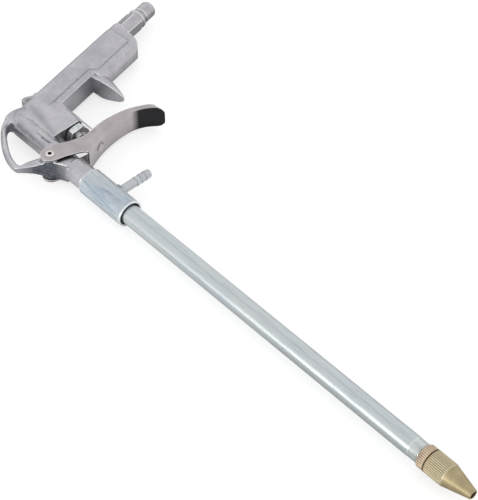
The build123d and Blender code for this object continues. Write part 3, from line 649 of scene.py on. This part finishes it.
def add_nozzle(brass, ring_brass):
    start, tip = gun_x("nozzle_cap")
    knurl_end = start + NOZZLE_KNURL
    # The outline's closing run is divided too, so a folded sheet lies hidden in the wall.
    profile = filled([(start, SCREW_BORE_R), (start, NOZZLE_R - EASE), (start + EASE, NOZZLE_R),
                      (knurl_end - 0.5, NOZZLE_R)], 1.5)[:-1]
    profile += [(knurl_end - 0.5, NOZZLE_R), (knurl_end - EASE, NOZZLE_R - 0.25),
                (knurl_end, NOZZLE_R - CONE_STEP)]
    slope = (NOZZLE_R - CONE_STEP - TIP_R) / (tip - knurl_end)
    for k in range(1, CONE_RINGS + 1):
        x = knurl_end + (tip - TIP_ROUND - knurl_end) * k / CONE_RINGS
        profile.append((x, NOZZLE_R - CONE_STEP - slope * (x - knurl_end)))
    profile += [(tip, TIP_R - TIP_ROUND), (tip, SPRAY_R + 0.2), (tip - EASE, SPRAY_R),
                (tip - 3, SPRAY_R), (knurl_end - 1.5, SCREW_BORE_R - 1.0),
                (knurl_end - 2.5, SCREW_BORE_R)]
    knurl = fluted(start + 0.2, knurl_end - 0.4, CAP_FLUTES, FLUTE_DEPTH)
    cap = lathe("spray_nozzle", profile, CAP_FLUTES * PER_FLUTE, brass, knurl)
    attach(cap, "nozzle")
    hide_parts("nozzle_cap")

    start, end = gun_x("lock_ring")
    profile = [(start, SCREW_BORE_R), (start, RING_REAR_R), (start + 0.5, RING_STEP_R),
               (start + 1.0, NOZZLE_R), (end - EASE, NOZZLE_R), (end, NOZZLE_R - 0.25),
               (end, SCREW_BORE_R)]
    knurl = fluted(start + 0.4, end - 0.2, RING_FLUTES, FLUTE_DEPTH + 0.05)
    ring = lathe("knurled_lock_ring", profile, RING_FLUTES * PER_FLUTE, ring_brass, knurl)
    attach(ring, "ring")
    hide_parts("lock_ring")


def thread(x, radius, angles):
    """Depth of the lance's right-hand thread."""
    if x < THREAD_START + THREAD_LEAD or radius < THREAD_CREST - 0.01:
        return np.zeros(len(angles))
    turn = ((x / THREAD_PITCH - angles / (2 * math.pi)) % 1.0) - 0.5
    depth = THREAD_DEPTH * min(1.0, (x - THREAD_START - THREAD_LEAD) / THREAD_FADE)
    return depth * np.clip(1.25 - np.abs(turn) * 2.5, 0, 1)  # a V with a flat bottom


def add_lance(zinc):
    start, end = gun_x("lance_tube")
    first, plain = THREAD_START + THREAD_LEAD, 40
    threaded = end - 0.5 - THREAD_START - THREAD_LEAD
    count = int(threaded / THREAD_PITCH * RINGS_PER_TURN)
    profile = [(start, LANCE_BORE_R), (start, LANCE_R - EASE), (start + EASE, LANCE_R)]
    profile += [(start + 1 + (THREAD_START - start - 1) * k / plain, LANCE_R)
                for k in range(plain + 1)]
    profile += [(THREAD_START + 0.15, THREAD_CREST)]
    profile += [(first + threaded * k / count, THREAD_CREST) for k in range(count + 1)]
    profile += [(end, LANCE_R - 0.7), (end, LANCE_BORE_R)]
    tube = lathe("threaded_lance", profile, LANCE_SEGMENTS, zinc, thread)
    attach(tube, "gun")
    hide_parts("lance_tube")


# ---------- body ----------
def gun_places(points):
    """Gun x and y of mesh points."""
    return (points[:, 0] - ORIGIN.x) / MM, (points[:, 1] - ORIGIN.y) / MM


def handle_places(x, y):
    """Distance along the handle from the barrel line and across it from the duct line."""
    s = y * math.cos(LEAN) - x * math.sin(LEAN)
    n = x * math.cos(LEAN) + y * math.sin(LEAN) - DUCT_N / MM
    return s, n


def near_line(s, n, a, b):
    """Distance of places (s, n) from the straight run between a and b."""
    ds, dn = b[0] - a[0], b[1] - a[1]
    t = np.clip(((s - a[0]) * ds + (n - a[1]) * dn) / (ds * ds + dn * dn), 0, 1)
    return np.hypot(s - a[0] - t * ds, n - a[1] - t * dn)


# Foundry lines: two places, width and depth in millimetres, and darkness. The handle's
# places are along and across it, the barrel's are gun x and y. The darkness is dirt in the
# lines, and painted shade in the wide valley band between the barrel and the raised pad and
# along the loop's outer band.
PAD_EDGE = ((38, 10.9), (84.5, 10.6), (89, 16.3), (126.5, 16.0))
HANDLE_LINES = (
    *((a, b, 0.45, 0.22, 0.6) for a, b in zip(PAD_EDGE, PAD_EDGE[1:])),
    ((131.6, -7), (128.0, 15.5), 0.7, 0.25, 0.35),
    ((134.2, -7), (130.8, 13.5), 0.5, 0.12, 0.25),
    ((71.5, 10.4), (71.6, 10.4), 0.8, 0.5, 1.0),
    ((44, 24), (50, 17.5), 1.0, 0.0, 0.35),
    ((117, 24), (126, 25), 2.6, 0.0, 0.3),
    ((96, 22), (104, 24), 2.0, 0.0, 0.15),
)
# The loop's outer band: a line of painted shade.
LOOP_BAND = ((-80.5, -11), (-78.5, -17), (-66.5, -26.5), (-54.5, -32), (-46, -33.5))
BARREL_LINES = (
    ((-57, -1.4), (-42, -0.9), 0.5, 0.15, 0.7),
    ((-51, -1.7), (-43, -1.3), 0.8, 0.10, 1.0),
    *((a, b, 1.1, 0.0, 0.5) for a, b in zip(LOOP_BAND, LOOP_BAND[1:])),
    # A wide band of painted shade in the valley between the barrel and the raised pad.
    ((-79, 12.0), (-47, 5.6), 2.6, 0.35, 0.35),
    ((-67.8, 31.1), (-34.5, 27.0), 0.6, 0.0, 0.6),
    ((-74, -5.5), (-44, -6.5), 1.8, 0.0, 0.75),
    ((-91.5, 17), (-90, 16.5), 2.6, 0.0, 0.7),
    ((-86, 3), (-83, 8), 1.6, 0.0, 0.4),
    ((-60, 29), (-50, 29.5), 0.8, 0.0, 0.45),
)


def casting_marks(body):
    """Cuts the foundry lines in both sides of the casting, with dirt and painted shade along them
    as a vertex attribute.
    """
    points, normals = vertex_rows(body.data, "co"), vertex_rows(body.data, "normal")
    x, y = gun_places(points)
    s, n = handle_places(x, y)
    flat = np.clip((np.abs(normals[:, 2]) - 0.3) / 0.4, 0, 1)    # 1 on the sides, 0 on walls
    depth, dirt_and_shade = np.zeros(len(points)), np.zeros(len(points))
    for lines, u, v in ((HANDLE_LINES, s, n), (BARREL_LINES, x, y)):
        for a, b, width, deep, dark in lines:
            shape = np.exp(-(near_line(u, v, a, b) / width) ** 2)
            depth += deep * shape
            dirt_and_shade = np.maximum(dirt_and_shade, dark * shape)
    set_rows(body.data, points - normals * (depth * flat * MM)[:, None])
    set_marks(body.data, "grime_and_shade", dirt_and_shade * flat)


# The hanging loop lies where gun y is under LOOP_Y. Its bow, where gun x is under LOOP_BOW_X,
# is smoothed with at least BOW_WEIGHT.
LOOP_Y, LOOP_BOW_X, BOW_WEIGHT = -4, -38, 0.5
LEAST_WEIGHT = 0.02               # fainter blends are left out
BLENDS = (                        # gun x, y and reach of joins that the casting runs through
    (-80, 0, 9), (-93, 24, 9), (-91, 29, 7), (-31, -6, 9), (-86, 9, 6),
    (-72, 4.6, 4), (-66, 4.6, 4), (-60, 4.6, 4), (-54, 4.6, 4), (-48, 4.6, 4),
)


def soften(piece, rounds):
    """Extra smoothing where the casting's forms run into one another."""
    group = piece.vertex_groups.new(name="blends")
    for vertex in piece.data.vertices:
        x = (vertex.co.x - ORIGIN.x) / MM
        y = (vertex.co.y - ORIGIN.y) / MM
        weight = max(math.exp(-((x - a) ** 2 + (y - b) ** 2) / reach ** 2)
                     for a, b, reach in BLENDS)
        if y < LOOP_Y and x < LOOP_BOW_X:
            weight = max(weight, BOW_WEIGHT)
        if weight > LEAST_WEIGHT:
            group.add([vertex.index], weight, "REPLACE")
    add_smooth(piece, rounds, "blends")
    piece.data = modified_mesh(piece)
    piece.vertex_groups.clear()
    piece.data.name = piece.name


CROWN_REACH, CROWN_DROP = 3.6, 0.36          # in from the loop's edge, and share of height lost
CROWN_END_X, CROWN_FADE_X, CROWN_FADE_Y = -28, 8, 4      # where the crown ends, and its fading
BARREL_CLEAR = 9.2 * MM                      # nearer the barrel line, the round barrel is kept
STEEP = 0.35                                 # the walls' normals have less than this of Z


def crown_loop(body):
    """Rounds the flat sides of the hanging loop, whose real section is an oval."""
    points, normals = vertex_rows(body.data, "co"), vertex_rows(body.data, "normal")
    x, y = gun_places(points)
    z = points[:, 2] - ORIGIN.z
    loop = (y < LOOP_Y) & (np.hypot(y * MM, z) > BARREL_CLEAR)
    walls = np.flatnonzero(loop & (np.abs(normals[:, 2]) < STEEP))
    tree = KDTree(len(walls))
    for k in walls:
        tree.insert((x[k], y[k], 0), int(k))
    tree.balance()
    for k in np.flatnonzero(loop):
        away = min(tree.find((x[k], y[k], 0))[2] / CROWN_REACH, 1.0)
        fade = min(1.0, (LOOP_Y - y[k]) / CROWN_FADE_Y)
        fade *= min(1.0, max(0.0, (CROWN_END_X - x[k]) / CROWN_FADE_X))
        points[k, 2] = ORIGIN.z + z[k] * (1 - CROWN_DROP * fade * (1 - away) ** 2)
    set_rows(body.data, points)


def add_body(material):
    body = remeshed("cast_body", "gun_body", voxel=0.42, rounds=2, material=material)
    crown_loop(body)
    soften(body, rounds=40)
    mark_edges_and_creases(body, rounds=20, least=0.045, most=0.18)
    casting_marks(body)
    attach(body, "gun")
    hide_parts("gun_body")


def add_spring(material):
    """A copy of the valve's coil spring, on a mesh of its own. The real spring shortens as the
    valve slides back.
    """
    piece = link("coil_spring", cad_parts["valve_spring"].data.copy())
    piece.data.name = piece.name
    piece.data.materials.clear()
    piece.data.materials.append(material)
    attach(piece, "gun")
    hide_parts("valve_spring")
    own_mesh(piece)


# ---------- CAD nodes that keep their shape ----------
def dress(node, material):
    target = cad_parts[node]
    target.data.materials.clear()
    target.data.materials.append(material)


# ---------- stage ----------
FLOOR_SIZE, FLOOR_DROP = 16, 0.0005          # metres; the gun lies a hair above the floor
FLOOR_GREY = (0.45, 0.45, 0.45, 1)
FLOOR_WHITE = 0.66                           # what the camera sees on top of the lit grey
# The floor's glow in metal along the gun: share of the way between two gun x, and strength.
REFLECTED_FROM, REFLECTED_TO = -110, 340
REFLECTED = ((0.07, 0.08), (0.11, 0.38), (0.22, 0.68), (0.38, 0.44), (0.73, 0.24))
CONTACT_REACH = 12 * MM                      # the glow fades this close to the gun


def add_floor():
    """Pale floor that keeps the gun's shadow, and glows unevenly in its metal."""
    bpy.ops.mesh.primitive_plane_add(size=FLOOR_SIZE, location=(0, 0, -FLOOR_DROP))
    floor = bpy.context.object
    floor.name = "floor"
    material = bpy.data.materials.new("pale_floor")
    material.use_nodes = True
    n = Nodes(material.node_tree)
    ray = n.add("ShaderNodeLightPath").outputs
    indirect = n.maths("MAXIMUM", ray["Is Glossy Ray"], ray["Is Transmission Ray"])
    x = n.parts(n.add("ShaderNodeTexCoord").outputs["Object"])["X"]
    span = n.add("ShaderNodeMapRange", {"Value": x, "From Min": on_gun(REFLECTED_FROM).x,
                                        "From Max": on_gun(REFLECTED_TO).x}).outputs[0]
    near = n.add("ShaderNodeAmbientOcclusion", {"Distance": CONTACT_REACH}).outputs["AO"]
    reflected = n.times(n.steps(span, *REFLECTED), near)
    seen = n.times(ray["Is Camera Ray"], FLOOR_WHITE)
    strength = n.maths("MULTIPLY_ADD", indirect, reflected, seen)
    grey = n.add("ShaderNodeBsdfDiffuse", {0: FLOOR_GREY}).outputs[0]
    glow = n.add("ShaderNodeEmission", {1: strength}).outputs[0]
    both = n.add("ShaderNodeAddShader", {0: grey, 1: glow}).outputs[0]
    n.add("ShaderNodeOutputMaterial", {0: both})
    floor.data.materials.append(material)


DOME = ((0.75, (1.0, 1.0, 1.0)), (0.95, (0.91, 0.915, 0.93)))        # from low to overhead
DOME_STRENGTH = 0.98


def add_world():
    """Soft white dome that lights the gun, and a plain backdrop for the camera."""
    world = bpy.data.worlds.new("studio")
    bpy.context.scene.world = world
    world.use_nodes = True
    n = Nodes(world.node_tree)
    z = n.parts(n.add("ShaderNodeTexCoord").outputs["Generated"])["Z"]
    height = n.add("ShaderNodeMapRange", {"Value": z, "From Min": -1}).outputs[0]
    dome = {0: n.steps(height, *DOME), 1: DOME_STRENGTH}
    dome = n.add("ShaderNodeBackground", dome).outputs[0]
    backdrop = n.add("ShaderNodeBackground").outputs[0]
    camera_ray = n.add("ShaderNodeLightPath").outputs["Is Camera Ray"]
    mix = n.add("ShaderNodeMixShader", {0: camera_ray, 1: dome, 2: backdrop}).outputs[0]
    n.add("ShaderNodeOutputWorld", {0: mix})


STRIP_PLACE, STRIP_TARGET = on_gun(130, -1250, 218), on_gun(130, 0, 40)
STRIP_SIZE, STRIP_POWER = (1.1, 0.36), 4.0   # metres and watts


def add_light():
    """Low strip light that draws the long highlight on the lance."""
    data = bpy.data.lights.new("side_strip", "AREA")
    data.shape = "RECTANGLE"
    data.size, data.size_y = STRIP_SIZE
    data.energy = STRIP_POWER
    lamp = bpy.data.objects.new("side_strip", data)
    bpy.context.scene.collection.objects.link(lamp)
    lamp.location = STRIP_PLACE
    lamp.rotation_mode = "QUATERNION"
    lamp.rotation_quaternion = (STRIP_TARGET - STRIP_PLACE).to_track_quat("-Z", "Y")


# ---------- the scene ----------
add_camera()
add_world()
add_floor()
add_light()

casting = cast_aluminium()
# The marks on the lance and the sleeve are painted dark reflections.
lance_zinc = zinc_plate("lance_zinc", pale=(0.605, 0.64, 0.64), blue=(0.575, 0.62, 0.64),
                        streak=0.4, rough=0.28, crease_shade=0.3, lance=True,
                        mark=((44.5, 2.9), (140, 2.7), 0.32))
sleeve_zinc = zinc_plate("sleeve_zinc", pale=(0.62, 0.655, 0.665), blue=(0.43, 0.50, 0.57),
                         streak=1.0, rough=0.40, mark=((1.5, 7.4), (41, 3.3), 0.6))
barb_zinc = zinc_plate("barb_zinc", pale=(0.66, 0.67, 0.68), blue=(0.52, 0.54, 0.56),
                       streak=0.7, rough=0.4, crease_shade=0.35)
cap_brass = turned_brass("nozzle_brass", light=(0.50, 0.415, 0.25), dark=(0.39, 0.32, 0.185),
                         groove_and_shade=(0.10, 0.065, 0.025), nozzle=True)
lock_brass = turned_brass("lock_brass", light=(0.72, 0.59, 0.44), dark=(0.58, 0.46, 0.34),
                          groove_and_shade=(0.16, 0.07, 0.035))
inner_brass = turned_brass("inner_brass", light=(0.60, 0.49, 0.25), dark=(0.50, 0.40, 0.20),
                           groove_and_shade=(0.12, 0.08, 0.03))
nickel = nickel_sheet()
steel = plain_steel("bright_steel", dark=(0.50, 0.48, 0.46), light=(0.64, 0.61, 0.58),
                    dirt_and_shade=(0.05, 0.05, 0.05), patch=3, corner=(1.0, (0.35, 0.8), (0.8, 0.0)),
                    rough=0.22, peel=(0.5, 0.01))
rivet_plate = plain_steel("rivet_plate", dark=(0.72, 0.69, 0.67), light=(0.86, 0.83, 0.80),
                          dirt_and_shade=(0.03, 0.03, 0.03), patch=2,
                          corner=(0.8, (0.4, 0.95), (0.85, 0.0)), rough=0.2, peel=(0.7, 0.015))
black_rubber = rubber()

add_body(casting)
add_rounded("quick_plug", "inlet_plug", voxel=0.22, rounds=2, body="gun",
            material=dull_nickel(), wear_and_glint_limits=(0.008, 0.032))
add_rounded("sleeve_tube", "mixing_sleeve", voxel=0.3, rounds=2, body="gun",
            material=sleeve_zinc, wear_and_glint_limits=(0.012, 0.05))
add_rounded("hex_valve_nut", "valve_nut", voxel=0.2, rounds=2, body="gun",
            material=bright_zinc(), wear_and_glint_limits=(0.015, 0.07))
add_rounded("trigger_lever", "lever", voxel=0.34, rounds=3, body="trigger",
            material=nickel, wear_and_glint_limits=(0.03, 0.12))
add_lance(lance_zinc)
add_nozzle(cap_brass, lock_brass)
add_spring(steel)
for material, nodes in (
    (rivet_plate, ("lever_rivet",)),
    (barb_zinc, ("hose_barb",)),
    (inner_brass, ("air_jet", "tube_bush", "nozzle_core", "valve_poppet")),
    (steel, ("valve_stem",)),
    (black_rubber, ("nut_gasket", "stem_seal", "poppet_seal", "jet_seal", "tube_seal")),
):
    for node in nodes:
        dress(node, material)

bpy.context.scene.view_settings.view_transform = "Standard"
